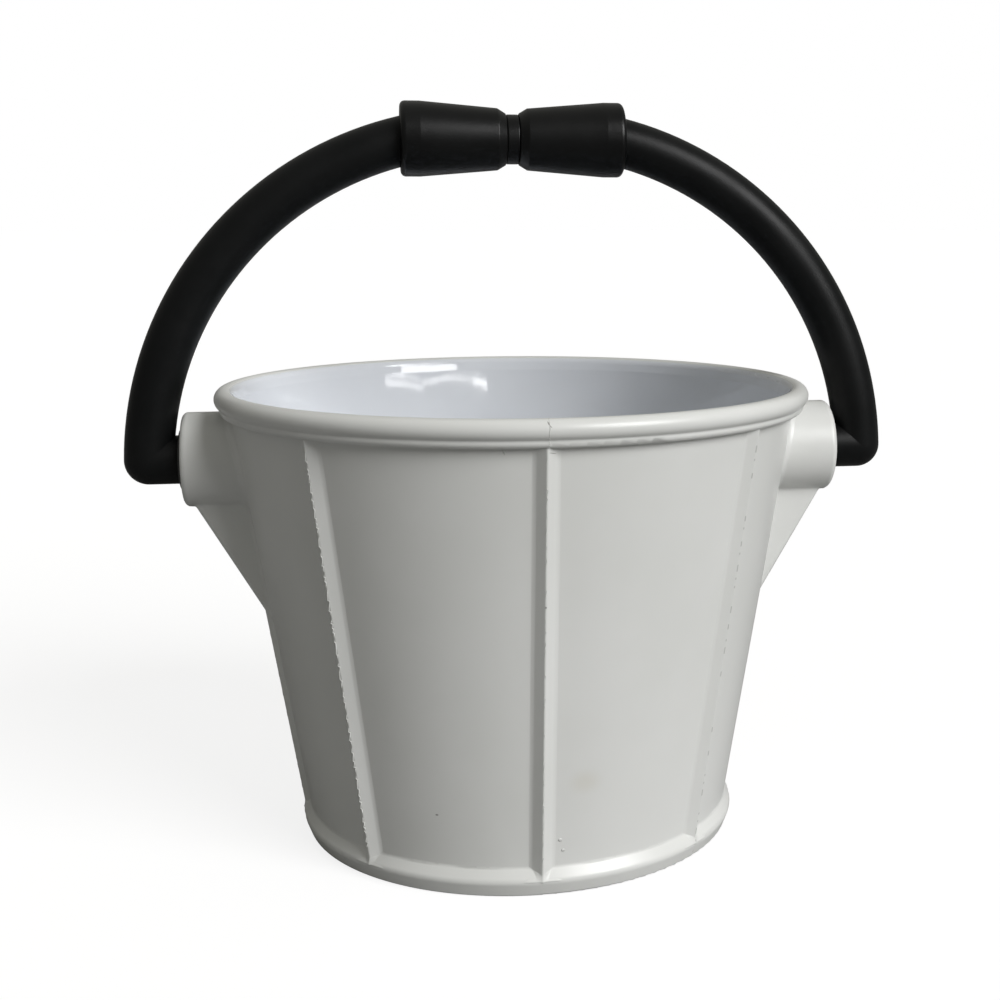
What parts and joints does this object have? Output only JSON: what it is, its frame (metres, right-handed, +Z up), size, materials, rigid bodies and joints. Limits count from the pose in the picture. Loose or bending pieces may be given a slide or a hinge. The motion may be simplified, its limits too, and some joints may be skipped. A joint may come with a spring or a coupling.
{
  "type": "bucket",
  "caption": "Round tapered bucket with vertical ribs, a beaded rim, side hubs and a swinging arched handle with a double-cone grip.",
  "frame": {"origin": "on the ground, under the middle of the bucket", "axes": "+Z up, X along the handle's hinge line through both hubs, Y across it"},
  "size_m": [0.364, 0.2798, 0.3455],
  "materials": {
    "bucket": "satin outside, glossy inside",
    "bush": "smooth",
    "rod": "drawn bar",
    "sleeve": "satin black",
    "grip": "satin black"
  },
  "bodies": {
    "bucket": {"bucket_body": "bucket", "hub_bush_left": "bush", "hub_bush_right": "bush"},
    "handle": {"handle_rod_left": "rod", "handle_rod_right": "rod", "rod_coupling": "rod", "coupling_pin_left": "rod", "coupling_pin_right": "rod", "arm_sleeve_left": "sleeve", "arm_sleeve_right": "sleeve", "grip_cone_left": "grip", "grip_cone_right": "grip", "rope_collar": "grip"}
  },
  "joints": [
    {"name": "handle_swing", "type": "hinge", "parent": "bucket", "child": "handle", "pos_m": [0, 0, 0.181], "axis": [1, 0, 0], "range_deg": [-70.5, 70.5]}
  ]
}
